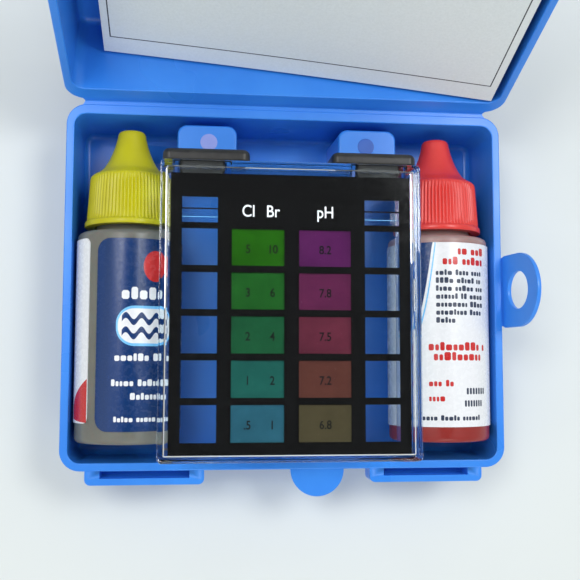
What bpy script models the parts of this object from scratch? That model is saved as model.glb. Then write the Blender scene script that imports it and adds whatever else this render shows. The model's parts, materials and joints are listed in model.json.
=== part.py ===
"""Pool water test kit: a blue clamshell case with two reagent bottles and a clear colour comparator.

Frame: origin at the centre of the case base's underside, +X to the right, +Y towards the case's hinge,
+Z up. The lid stands open, as the kit is used.
"""

import math

import bmesh
import bpy
from mathutils import Vector

MM = 0.001
GAP = 0.3 * MM

# case, outer sizes
CASE_WIDTH = 118.0 * MM
CASE_FRONT = -48.5 * MM
HINGE_Y = 48.5 * MM
HINGE_SETBACK = 0.7 * MM
BASE_HEIGHT = 21.5 * MM
LID_HEIGHT = 24.0 * MM
CORNER_RADIUS = 5.3 * MM
WALL = 1.5 * MM
FLOOR = 1.6 * MM
RIM_WIDTH = 2.1 * MM
BASE_BACK_RIM = 3.3 * MM
LID_BACK_RIM = 5.0 * MM
RIM_THICKNESS = 1.6 * MM
DRAFT = 0.5 * MM
HINGE_Z = BASE_HEIGHT + GAP / 2
LID_OPEN_ANGLE = math.radians(110.0)

# front catches, thumb tabs and the hinge's bead
CATCH_X = 37.2 * MM
CATCH_LENGTH = 30.6 * MM
CATCH_REACH = 3.6 * MM
SLOT_LENGTH = 23.0 * MM
SLOT_WIDTH = 1.9 * MM
CATCH_HEIGHT = 6.4 * MM
CATCH_FLOOR = 1.1 * MM
TONGUE_THICKNESS = 1.0 * MM
TONGUE_DROP = 5.4 * MM
THUMB_X = 7.8 * MM
THUMB_RADIUS = 7.1 * MM
TAB_THICKNESS = 1.2 * MM
HINGE_BEAD_RADIUS = 0.35 * MM

# pillars at the back of the base
PILLAR_X = 21.9 * MM
PILLAR_WIDTH = 16.0 * MM
PILLAR_FRONT = 31.5 * MM
PILLAR_BACK = 43.4 * MM
PILLAR_TOP = 20.3 * MM

# hang tab
HANG_AXIS = (CASE_WIDTH / 2 + 0.9 * MM, -1.0 * MM, 20.7 * MM)
HANG_ANGLE = math.radians(80.0)
HANG_THICKNESS = 1.3 * MM
HANG_RADIUS = 9.9 * MM
HANG_HOLE_RADIUS = 5.0 * MM
HANG_REACH = 8.0 * MM

# card in the lid
CARD_WIDTH = 105.0 * MM
CARD_HEIGHT = 84.0 * MM
CARD_THICKNESS = 0.4 * MM
CARD_ANGLE = math.radians(6.5)
CARD_FOOT = 5.9 * MM
CARD_X = 2.8 * MM
CARD_DEPTH = 6.6 * MM

# bottles, lying with their caps towards the hinge
BOTTLE_X = 42.2 * MM
BOTTLE_END_Y = -41.3 * MM
LABEL_RADIUS = 14.05 * MM
LABEL_THICKNESS = 0.15 * MM
LABEL_START = 3.4 * MM
LABEL_END = 52.6 * MM
BOTTLE_Z = FLOOR + GAP + LABEL_RADIUS
LIQUID_LEVEL = 8.0 * MM
TURN_STEPS = 28
TIP_STEPS = 16

# comparator, lying flat across the bottles
COMP_X = -1.0 * MM
COMP_WIDTH = 65.3 * MM
COMP_FRONT_END = -44.9 * MM
COMP_BACK_END = 29.4 * MM
COMP_BOTTOM = 27.4 * MM
COMP_TOP = 39.6 * MM
COMP_SPLIT = 34.0 * MM
COMP_WALL = 1.4 * MM
COMP_CORNER = 1.2 * MM
COMP_SKIN = 1.3 * MM
CELL_X = 22.3 * MM
CELL_WIDTH = 12.0 * MM
CELL_WALL = 0.9 * MM
CELL_BOTTOM = 29.0 * MM
CELL_TOP = 36.6 * MM
CELL_END = -41.2 * MM
MASK_WIDTH = 60.1 * MM
MASK_LENGTH = 69.3 * MM
MASK_SHIFT = -0.7 * MM
MASK_BOTTOM = 37.93 * MM
MASK_THICKNESS = 0.12 * MM
ROWS = 5
ROW_HEIGHT = 9.1 * MM
ROW_PITCH = 10.83 * MM
FIRST_ROW = 13.85 * MM
PANE_START = 5.9 * MM
PANE_HEIGHT = 6.4 * MM
SAMPLE_WINDOW_X = 22.85 * MM
SAMPLE_WINDOW_WIDTH = 8.8 * MM
CHLORINE_X = -8.4 * MM
PH_X = 8.35 * MM
STANDARD_WINDOW_WIDTH = 13.1 * MM
STRIP_WIDTH = 13.2 * MM
STRIP_THICKNESS = 0.45 * MM
STRIP_TOP = 37.7 * MM
STOPPER_INSET = 1.0 * MM
STOPPER_WIDTH = 21.8 * MM
STOPPER_HEIGHT = 9.6 * MM
STOPPER_REACH = 3.2 * MM
PLUG_LENGTH = 8.0 * MM


def clear_scene():
    """Remove every object that is in the file."""
    for obj in list(bpy.data.objects):
        bpy.data.objects.remove(obj, do_unlink=True)


def material(name, color, roughness=0.4, metallic=0.0, transmission=0.0):
    """A Principled material."""
    mat = bpy.data.materials.new(name)
    mat.use_nodes = True
    shader = mat.node_tree.nodes["Principled BSDF"]
    shader.inputs["Base Color"].default_value = (*color, 1.0)
    shader.inputs["Roughness"].default_value = roughness
    shader.inputs["Metallic"].default_value = metallic
    shader.inputs["Transmission Weight"].default_value = transmission
    mat.diffuse_color = (*color, 1.0)
    return mat


def empty(name, location, rotation=(0.0, 0.0, 0.0)):
    """An empty that carries a moving group at its joint."""
    obj = bpy.data.objects.new(name, None)
    obj.location = location
    obj.rotation_euler = rotation
    bpy.context.collection.objects.link(obj)
    return obj


def finish(name, bm, mat=None, parent=None, location=(0, 0, 0), rotation=(0, 0, 0), smooth=False):
    """Turn a bmesh into a named object with its faces pointing out."""
    bmesh.ops.recalc_face_normals(bm, faces=bm.faces[:])
    mesh = bpy.data.meshes.new(name)
    bm.to_mesh(mesh)
    bm.free()
    if smooth:
        mesh.shade_smooth()
        mesh.set_sharp_from_angle(angle=math.radians(35.0))
    obj = bpy.data.objects.new(name, mesh)
    bpy.context.collection.objects.link(obj)
    obj.location = location
    obj.rotation_euler = rotation
    obj.parent = parent
    if mat:
        obj.data.materials.append(mat)
    return obj


def boolean(target, helper, operation):
    """Fuse or cut target with a hidden helper."""
    helper.hide_render = True
    helper.display_type = "WIRE"
    mod = target.modifiers.new(helper.name, "BOOLEAN")
    mod.operation = operation
    mod.solver = "EXACT"
    mod.object = helper


def rounded_ring(half_x, y_front, y_back, radius, z, steps=5):
    """Points of a rounded rectangle, anticlockwise from above."""
    corners = (
        (half_x - radius, y_back - radius, 0.0),
        (-half_x + radius, y_back - radius, 90.0),
        (-half_x + radius, y_front + radius, 180.0),
        (half_x - radius, y_front + radius, 270.0),
    )
    points = []
    for cx, cy, start in corners:
        for i in range(steps + 1):
            a = math.radians(start + 90.0 * i / steps)
            points.append(Vector((cx + radius * math.cos(a), cy + radius * math.sin(a), z)))
    return points


def loft(bm, rings):
    """Skin a stack of equal rings and cap both ends."""
    loops = [[bm.verts.new(p) for p in ring] for ring in rings]
    for low, high in zip(loops, loops[1:]):
        for i in range(len(low)):
            j = (i + 1) % len(low)
            bm.faces.new((low[i], low[j], high[j], high[i]))
    bm.faces.new(list(reversed(loops[0])))
    bm.faces.new(loops[-1])


def plate(bm, outline, z_low, z_high):
    """Extrude a flat outline between two heights."""
    loft(bm, [[Vector((x, y, z)) for x, y in outline] for z in (z_low, z_high)])


def box(bm, low, high):
    """An axis-aligned box."""
    outline = [(low[0], low[1]), (high[0], low[1]), (high[0], high[1]), (low[0], high[1])]
    plate(bm, outline, low[2], high[2])


def arc(cx, cy, radius, start, end, steps):
    """Points of an arc, angles in degrees."""
    angles = [math.radians(start + (end - start) * i / steps) for i in range(steps + 1)]
    return [(cx + radius * math.cos(a), cy + radius * math.sin(a)) for a in angles]


def turned(bm, profile, steps=TURN_STEPS):
    """Turn a closed profile of (radius, height) points in millimetres about Z."""
    rings = []
    for r, z in profile:
        if r == 0:
            rings.append([bm.verts.new((0, 0, z * MM))])
            continue
        angles = [2 * math.pi * i / steps for i in range(steps)]
        rings.append([bm.verts.new((r * MM * math.cos(a), r * MM * math.sin(a), z * MM)) for a in angles])
    for a, b in zip(rings, rings[1:] + rings[:1]):
        if len(a) == len(b) == 1:
            continue
        for i in range(steps):
            j = (i + 1) % steps
            corner = [a[i % len(a)], a[j % len(a)], b[j % len(b)], b[i % len(b)]]
            bm.faces.new(list(dict.fromkeys(corner)))


def shell_rings(height, front_rim, back_rim, y_shift, z_at):
    """Rings of one half of the case, from the middle of its outside to the middle of its inside."""
    half = CASE_WIDTH / 2
    front = CASE_FRONT - y_shift
    back = HINGE_Y - HINGE_SETBACK - y_shift
    back_rim -= HINGE_SETBACK

    def ring(side, front_in, back_in, z):
        radius = max(CORNER_RADIUS - side, 1.2 * MM)
        return rounded_ring(half - side, front + front_in, back - back_in, radius, z_at(z))

    def outer(extra, z):
        step = RIM_WIDTH - WALL + extra
        return ring(step, max(front_rim - WALL, 0) + extra, back_rim - WALL + extra, z)

    def inner(extra, z):
        return ring(RIM_WIDTH + extra, front_rim + extra, back_rim + extra, z)

    chamfer = 0.3 * MM
    rim_low = height - RIM_THICKNESS
    return [
        outer(DRAFT + 2.0 * MM, 0.0),
        outer(DRAFT + 0.6 * MM, 0.6 * MM),
        outer(DRAFT, 2.0 * MM),
        outer(0.02 * MM, rim_low),
        ring(0, 0, 0, rim_low),
        ring(0, 0, 0, height - chamfer),
        ring(chamfer, chamfer, chamfer, height),
        inner(0, height),
        inner(DRAFT, 3.2 * MM),
        inner(DRAFT + 1.4 * MM, FLOOR),
    ]


def catch_block(bm, x, z_low, z_high):
    """The rounded block in front of the rim that a catch slot is cut into."""
    root = CASE_FRONT + 1.6 * MM
    tip = CASE_FRONT - CATCH_REACH
    half = CATCH_LENGTH / 2
    r = 1.5 * MM
    outline = [(x - half, root)]
    outline += arc(x - half + r, tip + r, r, 180, 270, 3)
    outline += arc(x + half - r, tip + r, r, 270, 360, 3)
    outline += [(x + half, root)]
    plate(bm, outline, z_low, z_high)


def thumb_tab(bm, x, y, z_low, z_high):
    """A half-round tab in front of the rim."""
    outline = arc(x, y, THUMB_RADIUS, 180, 360, 10)
    outline += [(x + THUMB_RADIUS, y + 1.0 * MM), (x - THUMB_RADIUS, y + 1.0 * MM)]
    plate(bm, outline, z_low, z_high)


def case_base(mat):
    """The tray, with its catch pockets, thumb tab and rear pillars."""
    bm = bmesh.new()
    loft(bm, shell_rings(BASE_HEIGHT, RIM_WIDTH, BASE_BACK_RIM, 0.0, lambda z: z))
    base = finish("case_base", bm, mat)
    bm, slots = bmesh.new(), bmesh.new()
    high = BASE_HEIGHT - 0.2 * MM
    for side in (-1, 1):
        x = side * CATCH_X
        catch_block(bm, x, high - CATCH_HEIGHT, high)
        box(slots, (x - SLOT_LENGTH / 2, CASE_FRONT - SLOT_WIDTH, high - CATCH_HEIGHT + CATCH_FLOOR),
            (x + SLOT_LENGTH / 2, CASE_FRONT, high + 1 * MM))
        center = side * PILLAR_X
        half = PILLAR_WIDTH / 2
        rings = []
        for grow, z in ((0.4 * MM, FLOOR / 2), (0.0, PILLAR_TOP - 0.5 * MM), (-0.5 * MM, PILLAR_TOP)):
            ring = rounded_ring(half + grow, PILLAR_FRONT - grow, PILLAR_BACK + grow, 2.5 * MM, z, 3)
            rings.append([p + Vector((center, 0, 0)) for p in ring])
        loft(bm, rings)
    thumb_tab(bm, THUMB_X, CASE_FRONT, high - TAB_THICKNESS, high)
    boolean(base, finish("base_additions", bm), "UNION")
    boolean(base, finish("catch_slots", slots), "DIFFERENCE")
    return base


def case_lid(mat, pivot):
    """The lid in its closed place, carried by the open pivot."""
    rim_gap = GAP / 2
    bm = bmesh.new()
    rings = shell_rings(LID_HEIGHT - rim_gap, WALL, LID_BACK_RIM, HINGE_Y, lambda z: LID_HEIGHT - z)
    loft(bm, rings)
    lid = finish("case_lid", bm, mat, parent=pivot)
    bm = bmesh.new()
    front = CASE_FRONT - HINGE_Y
    low = rim_gap + 0.2 * MM
    high = low + TAB_THICKNESS
    thumb_tab(bm, -THUMB_X, front, low, high)
    tongue_back = front - 0.45 * MM
    for side in (-1, 1):
        half = SLOT_LENGTH / 2 - 1.0 * MM
        x = side * CATCH_X
        section = [
            (front + 1.0 * MM, high),
            (tongue_back - TONGUE_THICKNESS, high),
            (tongue_back - TONGUE_THICKNESS, -TONGUE_DROP + 0.6 * MM),
            (tongue_back - 0.5 * TONGUE_THICKNESS, -TONGUE_DROP),
            (tongue_back, -TONGUE_DROP + 0.2 * MM),
            (tongue_back, low),
            (front + 1.0 * MM, low),
        ]
        loft(bm, [[Vector((px, y, z)) for y, z in section] for px in (x - half, x + half)])
    boolean(lid, finish("lid_additions", bm, parent=pivot), "UNION")
    return lid


def living_hinge(mat):
    """The bead on the fold line between the two halves."""
    bm = bmesh.new()
    half = CASE_WIDTH / 2 - CORNER_RADIUS
    loft(bm, [
        [Vector((x, y, z)) for y, z in arc(HINGE_Y, HINGE_Z, HINGE_BEAD_RADIUS, 0, 315, 7)]
        for x in (-half, half)
    ])
    return finish("living_hinge", bm, mat)


def hang_tab(mat):
    """A ring-shaped tab folded up at the right side of the base."""
    pivot = empty("hang_pivot", HANG_AXIS, (0, -HANG_ANGLE, 0))
    steps = 20
    bm = bmesh.new()
    inner = arc(HANG_REACH, 0, HANG_HOLE_RADIUS, -180, 180 - 360 / steps, steps - 1)
    outer = []
    for i in range(steps):
        a = math.radians(-180 + 360 * i / steps)
        dx, dy = math.cos(a), math.sin(a)
        if dx >= -1e-6:
            outer.append((HANG_REACH + HANG_RADIUS * dx, HANG_RADIUS * dy))
        else:
            reach = min(HANG_REACH / -dx, HANG_RADIUS / max(abs(dy), 1e-9))
            outer.append((HANG_REACH + reach * dx, reach * dy))
    half = HANG_THICKNESS / 2
    loops = []
    for outline, z in ((outer, -half), (outer, half), (inner, half), (inner, -half)):
        loops.append([bm.verts.new((x, y, z)) for x, y in outline])
    for a, b in zip(loops, loops[1:] + loops[:1]):
        for i in range(steps):
            j = (i + 1) % steps
            bm.faces.new((a[i], a[j], b[j], b[i]))
    return finish("hang_tab", bm, mat, parent=pivot)


def instruction_card(mat, pivot):
    """The printed card, standing on the lid's hinge-side wall."""
    bm = bmesh.new()
    half = (CARD_WIDTH / 2, CARD_HEIGHT / 2, CARD_THICKNESS / 2)
    box(bm, [-v for v in half], half)
    place = (CARD_X, -CARD_FOOT - CARD_HEIGHT / 2, CARD_DEPTH)
    return finish("instruction_card", bm, mat, parent=pivot, location=place, rotation=(0, CARD_ANGLE, 0))


BOTTLE_PROFILE = [
    (0, 0), (12.2, 0), (13.3, 0.5), (13.7, 1.6), (13.7, 52.8), (13.3, 54.0), (12.0, 54.8), (9.4, 55.1),
    (9.0, 55.6), (9.0, 66.5), (7.0, 66.5), (7.0, 54.6), (11.4, 53.4), (12.5, 51.8), (12.5, 2.0),
    (11.6, 1.2), (0, 1.2),
]
TIP_PROFILE = [
    (6.7, 60.0), (6.7, 66.8), (8.6, 66.8), (8.6, 68.0), (3.4, 68.2), (2.1, 72.0), (1.6, 79.8), (0.8, 79.8),
    (0.8, 71.0), (2.0, 67.2), (5.2, 66.0), (5.2, 60.0),
]
CAP_PROFILE = [
    (12.1, 56.5), (12.1, 57.7), (11.6, 58.0), (10.9, 69.7), (10.4, 70.9), (8.4, 71.7), (7.3, 72.8),
    (6.2, 74.6), (5.1, 76.9), (4.3, 79.1), (3.7, 81.3), (3.3, 82.6), (2.8, 83.1), (0, 83.1), (0, 81.9),
    (2.1, 81.7), (2.7, 73.7), (4.2, 70.9), (9.5, 69.7), (9.5, 56.5),
]
REAGENT_PROFILE = [
    (0, 1.5), (11.4, 1.5), (12.2, 2.4), (12.2, 51.5), (11.0, 53.0), (6.6, 54.3), (6.6, 59.6), (0, 59.6),
]


def bottle_set(side, prefix, gap_angle, looks):
    """One reagent bottle with its dropper tip, cap, label and liquid."""
    place = (side * BOTTLE_X, BOTTLE_END_Y, BOTTLE_Z)
    lying = (-math.pi / 2, 0, 0)
    for name, profile, steps in (
        ("bottle", BOTTLE_PROFILE, TURN_STEPS),
        ("dropper_tip", TIP_PROFILE, TIP_STEPS),
        ("cap", CAP_PROFILE, TURN_STEPS),
    ):
        bm = bmesh.new()
        turned(bm, profile, steps)
        finish(f"{prefix}_{name}", bm, looks[name], location=place, rotation=lying, smooth=True)
    label(f"{prefix}_label", gap_angle, looks["label"], place, lying)
    bm = bmesh.new()
    turned(bm, REAGENT_PROFILE)
    cut = bmesh.ops.bisect_plane(
        bm, geom=bm.verts[:] + bm.edges[:] + bm.faces[:], plane_co=(0, -LIQUID_LEVEL, 0),
        plane_no=(0, -1, 0), clear_outer=True,
    )
    edges = [g for g in cut["geom_cut"] if isinstance(g, bmesh.types.BMEdge)]
    bmesh.ops.edgeloop_fill(bm, edges=edges)
    finish(f"{prefix}_reagent", bm, looks["reagent"], location=place, rotation=lying, smooth=True)


def label(name, gap_angle, mat, place, lying, gap_width=14.0, steps=26):
    """A film wrapped round the bottle; gap_angle is where its ends nearly meet, from the top."""
    start = -90.0 + gap_angle + gap_width / 2
    bm = bmesh.new()
    section = []
    for radius, first, last in (
        (LABEL_RADIUS, start, start + 360 - gap_width),
        (LABEL_RADIUS - LABEL_THICKNESS, start + 360 - gap_width, start),
    ):
        section += arc(0, 0, radius, first, last, steps)
    count = steps + 1
    low = [bm.verts.new((x, y, LABEL_START)) for x, y in section]
    high = [bm.verts.new((x, y, LABEL_END)) for x, y in section]
    total = len(section)
    for i in range(total):
        j = (i + 1) % total
        bm.faces.new((low[i], low[j], high[j], high[i]))
    for i in range(steps):
        k = 2 * count - 1 - i
        bm.faces.new((low[i], low[i + 1], low[k - 1], low[k]))
        bm.faces.new((high[i], high[i + 1], high[k - 1], high[k]))
    finish(name, bm, mat, location=place, rotation=lying, smooth=True)


def comparator_tray(name, mat, outer_z, rim_z, floor_z):
    """One clear half of the comparator's housing, an open tray."""
    middle = (COMP_FRONT_END + COMP_BACK_END) / 2
    half_y = (COMP_BACK_END - COMP_FRONT_END) / 2

    def ring(inset, z):
        radius = max(COMP_CORNER - inset, 0.3 * MM)
        points = rounded_ring(COMP_WIDTH / 2 - inset, -half_y + inset, half_y - inset, radius, z, 3)
        return [p + Vector((COMP_X, middle, 0)) for p in points]

    up = 1 if rim_z > outer_z else -1
    bm = bmesh.new()
    edge = 0.4 * MM
    loft(bm, [ring(edge, outer_z), ring(0, outer_z + up * edge), ring(0, rim_z), ring(COMP_WALL, rim_z),
              ring(COMP_WALL, floor_z)])
    return finish(name, bm, mat)


def comparator_back(mat):
    """Rear half of the housing with its two sample cells."""
    body = comparator_tray("comparator_back", mat, COMP_BOTTOM, COMP_SPLIT - GAP / 2, COMP_BOTTOM + 1.2 * MM)
    tubes, bores = bmesh.new(), bmesh.new()
    for side in (-1, 1):
        x = COMP_X + side * CELL_X
        half = CELL_WIDTH / 2
        wide = half + CELL_WALL
        box(tubes, (x - wide, CELL_END - CELL_WALL, COMP_BOTTOM + 0.6 * MM),
            (x + wide, COMP_BACK_END - 0.2 * MM, CELL_TOP + CELL_WALL))
        box(bores, (x - half, CELL_END, CELL_BOTTOM), (x + half, COMP_BACK_END + 2 * MM, CELL_TOP))
    boolean(body, finish("cell_tubes", tubes), "UNION")
    boolean(body, finish("cell_bores", bores), "DIFFERENCE")
    return body


def comparator_front(mat):
    """Front half of the housing, notched where the cells leave it."""
    body = comparator_tray("comparator_front", mat, COMP_TOP, COMP_SPLIT + GAP / 2, COMP_TOP - COMP_SKIN)
    notches = bmesh.new()
    for side in (-1, 1):
        x = COMP_X + side * CELL_X
        wide = CELL_WIDTH / 2 + CELL_WALL + GAP
        box(notches, (x - wide, COMP_BACK_END - COMP_WALL - 2 * MM, COMP_SPLIT - 2 * MM),
            (x + wide, COMP_BACK_END + 2 * MM, CELL_TOP + CELL_WALL + GAP))
    boolean(body, finish("cell_notches", notches), "DIFFERENCE")
    return body


def scale_mask(mat):
    """The black film with a window for each standard and each sample."""
    center_y = (COMP_FRONT_END + COMP_BACK_END) / 2 + MASK_SHIFT
    top = center_y + MASK_LENGTH / 2
    columns = [(-SAMPLE_WINDOW_X, SAMPLE_WINDOW_WIDTH, True), (CHLORINE_X, STANDARD_WINDOW_WIDTH, False),
               (PH_X, STANDARD_WINDOW_WIDTH, False), (SAMPLE_WINDOW_X, SAMPLE_WINDOW_WIDTH, True)]
    rows = [(PANE_START, PANE_HEIGHT)] + [(FIRST_ROW + i * ROW_PITCH, ROW_HEIGHT) for i in range(ROWS)]
    xs = [-MASK_WIDTH / 2, MASK_WIDTH / 2]
    for cx, width, _ in columns:
        xs += [cx - width / 2, cx + width / 2]
    ys = [top - MASK_LENGTH, top]
    for start, height in rows:
        ys += [top - start, top - start - height]
    xs, ys = sorted(xs), sorted(ys)

    def is_window(x, y):
        for cx, width, has_pane in columns:
            if abs(x - cx) > width / 2:
                continue
            for start, height in rows if has_pane else rows[1:]:
                if start < top - y < start + height:
                    return True
        return False

    bm = bmesh.new()
    grid = [[bm.verts.new((COMP_X + x, y, MASK_BOTTOM)) for y in ys] for x in xs]
    for i in range(len(xs) - 1):
        for j in range(len(ys) - 1):
            if not is_window((xs[i] + xs[i + 1]) / 2, (ys[j] + ys[j + 1]) / 2):
                bm.faces.new((grid[i][j], grid[i + 1][j], grid[i + 1][j + 1], grid[i][j + 1]))
    bmesh.ops.delete(bm, geom=[v for v in bm.verts if not v.link_faces], context="VERTS")
    raised = bmesh.ops.extrude_face_region(bm, geom=bm.faces[:], use_keep_orig=True)
    lifted = [g for g in raised["geom"] if isinstance(g, bmesh.types.BMVert)]
    bmesh.ops.translate(bm, vec=(0, 0, MASK_THICKNESS), verts=lifted)
    return finish("scale_mask", bm, mat)


def standards(name, x, mat):
    """A strip of colour standards behind its column of windows."""
    top = (COMP_FRONT_END + COMP_BACK_END) / 2 + MASK_SHIFT + MASK_LENGTH / 2
    start = top - FIRST_ROW + 0.6 * MM
    end = top - FIRST_ROW - (ROWS - 1) * ROW_PITCH - ROW_HEIGHT - 0.6 * MM
    bm = bmesh.new()
    box(bm, (COMP_X + x - STRIP_WIDTH / 2, end, STRIP_TOP - STRIP_THICKNESS),
        (COMP_X + x + STRIP_WIDTH / 2, start, STRIP_TOP))
    return finish(name, bm, mat)


def cell_cap(name, side, mat):
    """A black stopper: a rounded head with a plug that enters its cell."""
    x = side * (CELL_X - STOPPER_INSET)
    z = (CELL_BOTTOM + CELL_TOP) / 2
    plug_x = side * CELL_X - x
    place = (COMP_X + x, COMP_BACK_END + GAP, z)
    r = 1.2 * MM
    rings = []
    for inset, depth in ((0.5 * MM, 0), (0, 0.5 * MM), (0, STOPPER_REACH - 0.8 * MM), (0.8 * MM, STOPPER_REACH)):
        ring = rounded_ring(STOPPER_WIDTH / 2 - inset, -STOPPER_HEIGHT / 2 + inset,
                            STOPPER_HEIGHT / 2 - inset, r, depth, 3)
        rings.append([Vector((p.x, p.z, -p.y)) for p in ring])
    bm = bmesh.new()
    loft(bm, rings)
    cap = finish(name, bm, mat, location=place)
    bm = bmesh.new()
    half_x = CELL_WIDTH / 2 - GAP
    half_z = (CELL_TOP - CELL_BOTTOM) / 2 - GAP
    box(bm, (plug_x - half_x, -PLUG_LENGTH, -half_z), (plug_x + half_x, 0.2 * MM, half_z))
    boolean(cap, finish(f"{name}_plug", bm, location=place), "UNION")
    return cap


def main():
    """Build every piece of the kit."""
    clear_scene()
    blue = material("case_blue", (0.05, 0.22, 0.62), 0.3)
    clear = material("clear_acrylic", (0.9, 0.95, 0.97), 0.05, transmission=0.9)
    black = material("black_plastic", (0.02, 0.02, 0.022), 0.35)
    natural = material("natural_polythene", (0.82, 0.85, 0.86), 0.4, transmission=0.4)
    paper = material("card_paper", (0.85, 0.86, 0.88), 0.6)
    lid_pivot = empty("lid_pivot", (0, HINGE_Y, HINGE_Z), (-LID_OPEN_ANGLE, 0, 0))
    case_base(blue)
    case_lid(blue, lid_pivot)
    living_hinge(blue)
    hang_tab(blue)
    instruction_card(paper, lid_pivot)
    bottle_set(-1, "yellow", -37.0, {
        "bottle": natural,
        "dropper_tip": natural,
        "cap": material("yellow_plastic", (0.95, 0.72, 0.05), 0.35),
        "label": material("blue_label", (0.03, 0.10, 0.40), 0.35),
        "reagent": material("clear_liquid", (0.85, 0.88, 0.86), 0.05, transmission=0.9),
    })
    bottle_set(1, "red", 120.0, {
        "bottle": natural,
        "dropper_tip": natural,
        "cap": material("red_plastic", (0.75, 0.04, 0.05), 0.35),
        "label": material("white_label", (0.85, 0.87, 0.90), 0.35),
        "reagent": material("red_liquid", (0.65, 0.02, 0.03), 0.05, transmission=0.7),
    })
    comparator_back(clear)
    comparator_front(clear)
    scale_mask(material("mask_black", (0.015, 0.015, 0.018), 0.4))
    standards("chlorine_standards", CHLORINE_X, material("chlorine_colours", (0.12, 0.42, 0.25), 0.3))
    standards("ph_standards", PH_X, material("ph_colours", (0.5, 0.12, 0.28), 0.3))
    cell_cap("left_cell_cap", -1, black)
    cell_cap("right_cell_cap", 1, black)


main()
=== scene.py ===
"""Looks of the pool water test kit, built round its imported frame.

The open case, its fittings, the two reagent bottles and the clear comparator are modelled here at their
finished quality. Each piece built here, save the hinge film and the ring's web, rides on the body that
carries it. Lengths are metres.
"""

import json
import math
import random

import bmesh
import bpy
from mathutils import Euler, Matrix, Vector


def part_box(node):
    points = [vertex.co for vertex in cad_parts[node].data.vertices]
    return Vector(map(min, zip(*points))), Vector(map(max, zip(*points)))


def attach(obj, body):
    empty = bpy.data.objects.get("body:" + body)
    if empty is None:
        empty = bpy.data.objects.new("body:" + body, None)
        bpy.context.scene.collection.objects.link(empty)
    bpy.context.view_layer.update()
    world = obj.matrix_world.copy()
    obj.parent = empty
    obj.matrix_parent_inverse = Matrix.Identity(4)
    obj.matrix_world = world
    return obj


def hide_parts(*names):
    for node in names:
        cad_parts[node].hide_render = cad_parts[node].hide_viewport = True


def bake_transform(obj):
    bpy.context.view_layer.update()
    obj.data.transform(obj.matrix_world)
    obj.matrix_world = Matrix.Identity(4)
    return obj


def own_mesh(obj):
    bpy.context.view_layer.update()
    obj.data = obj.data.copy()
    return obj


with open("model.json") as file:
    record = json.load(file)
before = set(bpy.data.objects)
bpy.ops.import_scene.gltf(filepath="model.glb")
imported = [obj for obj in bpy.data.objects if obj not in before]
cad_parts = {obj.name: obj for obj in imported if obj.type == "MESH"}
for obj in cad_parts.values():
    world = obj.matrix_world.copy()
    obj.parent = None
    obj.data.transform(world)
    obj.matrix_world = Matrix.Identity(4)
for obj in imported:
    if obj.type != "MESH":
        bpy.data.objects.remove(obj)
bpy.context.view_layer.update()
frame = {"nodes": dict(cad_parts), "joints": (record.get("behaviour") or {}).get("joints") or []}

MM = 0.001
JOINTS = {joint["name"]: joint for joint in frame["joints"]}

# case halves
BASE_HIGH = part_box("case_base")[1]
HALF_WIDTH = BASE_HIGH.x
BASE_HEIGHT = BASE_HIGH.z
HINGE = Vector(JOINTS["lid_hinge"]["pos_m"])
CASE_FRONT = -HINGE.y
HINGE_SETBACK = 0.7 * MM
RIM_GAP = HINGE.z - BASE_HEIGHT
LID_HEIGHT = 24.0 * MM
LID_TURN = Matrix.Translation(HINGE) @ Matrix.Rotation(math.radians(-110.0), 4, "X")
CORNER_RADIUS = 5.3 * MM
WALL = 1.5 * MM
FLOOR = 1.6 * MM
RIM_WIDTH = 2.1 * MM
BASE_BACK_RIM = 3.3 * MM
LID_BACK_RIM = 5.0 * MM
RIM_THICKNESS = 1.6 * MM
DRAFT = 0.5 * MM
EDGE = 0.32 * MM
OUTER_ROUND = 2.45 * MM
INNER_ROUND = 1.8 * MM
SMALL_EDGE = 0.25 * MM

# shading angles, degrees
SOFT = 35.0
CRISP = 8.0

# front catches and thumb tabs
CATCH_X = 37.2 * MM
CATCH_LENGTH = 30.6 * MM
CATCH_REACH = 3.6 * MM
SLOT_LENGTH = 23.0 * MM
SLOT_WIDTH = 1.9 * MM
CATCH_HEIGHT = 6.4 * MM
CATCH_FLOOR = 1.1 * MM
CATCH_ROOT = 1.6 * MM
CATCH_ROUND = 1.5 * MM
TAB_DROP = 0.2 * MM
TONGUE_THICKNESS = 1.0 * MM
TONGUE_DROP = 5.4 * MM
THUMB_X = 7.8 * MM
THUMB_RADIUS = 7.1 * MM
TAB_THICKNESS = 1.2 * MM

# pillars at the back of the base
PILLAR_X = 21.9 * MM
PILLAR_WIDTH = 16.0 * MM
PILLAR_FRONT = 31.5 * MM
PILLAR_BACK = 43.4 * MM
PILLAR_TOP = 20.3 * MM
PILLAR_CORNER = 2.5 * MM
EJECTOR_RADIUS = 2.3 * MM

# living hinge film
FILM_RADIUS = 0.55 * MM
FILM_HALF = 0.24 * MM
FILM_END = 54.3 * MM
FILM_FLARE = 1.7 * MM

# hang ring
HANG_AXIS = Vector(JOINTS["hang_tab_fold"]["pos_m"])
HANG_TURN = Matrix.Translation(HANG_AXIS) @ Matrix.Rotation(math.radians(-80.0), 4, "Y")
HANG_THICKNESS = 1.3 * MM
HANG_RADIUS = 9.9 * MM
HANG_HOLE_RADIUS = 5.0 * MM
HANG_REACH = 8.0 * MM
HANG_EDGE = 0.35 * MM
HANG_WEB_HALF = 0.28 * MM

# card, in the lid's own closed place
CARD_WIDTH = 105.0 * MM
CARD_HEIGHT = 84.0 * MM
CARD_THICKNESS = 0.35 * MM
CARD_ANGLE = math.radians(6.5)
CARD_FOOT = 5.9 * MM
CARD_X = 2.8 * MM
CARD_DEPTH = 6.6 * MM
CARD_BOW = 0.5 * MM
CARD_BORDER_SIDE = 2.0 * MM
CARD_BORDER_END = 5.8 * MM
CARD_LINE = 0.16 * MM

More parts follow.
